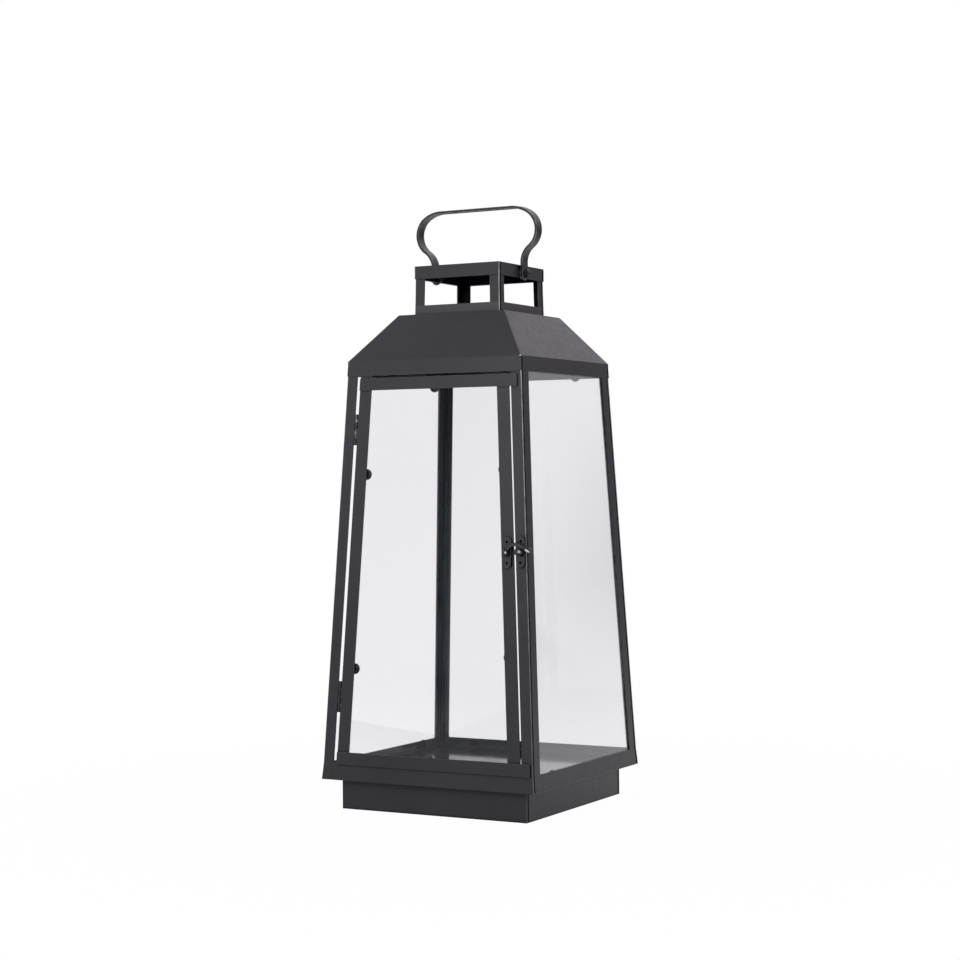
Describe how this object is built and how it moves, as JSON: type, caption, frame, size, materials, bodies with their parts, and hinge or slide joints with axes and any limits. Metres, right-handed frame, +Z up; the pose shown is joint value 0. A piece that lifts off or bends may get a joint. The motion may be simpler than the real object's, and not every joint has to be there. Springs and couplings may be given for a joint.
{
  "type": "candle lantern",
  "caption": "Tapering square candle lantern of black sheet steel with glass walls, a hinged glass door with a hook latch, a vented chimney and a swinging strap handle.",
  "frame": {"origin": "on the ground under the middle of the plinth", "axes": "+Z up; -Y out of the front wall, which holds the door; +X to the right seen from the front"},
  "size_m": [0.2, 0.2, 0.5083],
  "materials": {
    "black_sheet": "satin powder coat",
    "black_floor": "semi-gloss paint",
    "black_handle": "satin paint over drawn strip",
    "black_hardware": "worn satin paint",
    "pin_steel": "dull drawn wire",
    "clear_glass": "clear, polished"
  },
  "bodies": {
    "frame": {"floor_plate": "black_floor", "plinth_front": "black_sheet", "wall_frame_front": "black_sheet", "roof_panel_front": "black_sheet", "chimney_frame_front": "black_sheet", "plinth_right": "black_sheet", "wall_frame_right": "black_sheet", "roof_panel_right": "black_sheet", "chimney_frame_right": "black_sheet", "plinth_back": "black_sheet", "wall_frame_back": "black_sheet", "roof_panel_back": "black_sheet", "chimney_frame_back": "black_sheet", "plinth_left": "black_sheet", "wall_frame_left": "black_sheet", "roof_panel_left": "black_sheet", "chimney_frame_left": "black_sheet", "glass_right": "clear_glass", "glass_back": "clear_glass", "glass_left": "clear_glass", "fixed_glass_tabs": "black_sheet", "roof_deck": "black_sheet", "chimney_cap": "black_sheet", "upper_hinge_post_leaf": "black_hardware", "lower_hinge_post_leaf": "black_hardware", "hinge_pins": "pin_steel", "strike_plate": "black_hardware", "strike_plate_rivets": "black_hardware", "latch_peg": "black_hardware", "handle_rivets": "black_handle", "handle_spacers": "black_handle"},
    "door": {"door_hinge_stile": "black_sheet", "door_latch_stile": "black_sheet", "door_top_rail": "black_sheet", "door_bottom_rail": "black_sheet", "door_glass": "clear_glass", "door_glass_tabs": "black_sheet", "upper_hinge_door_leaf": "black_hardware", "lower_hinge_door_leaf": "black_hardware", "latch_plate": "black_hardware", "latch_plate_rivets": "black_hardware", "latch_pivot": "black_hardware"},
    "hook": {"latch_hook": "black_hardware"},
    "handle": {"handle_strap": "black_handle"}
  },
  "joints": [
    {"name": "door_hinge", "type": "hinge", "parent": "frame", "child": "door", "pos_m": [-0.07928, -0.09008, 0.2], "axis": [-0.0505, -0.0505, -0.9975], "range_deg": [0, 110]},
    {"name": "hook_pivot", "type": "hinge", "parent": "door", "child": "hook", "pos_m": [0.07312, -0.09002, 0.217], "axis": [0, -0.9987, 0.0505], "range_deg": [0, 100]},
    {"name": "handle_pivot", "type": "hinge", "parent": "frame", "child": "handle", "pos_m": [0, 0, 0.4505], "axis": [1, 0, 0], "range_deg": [-121, 115]}
  ]
}
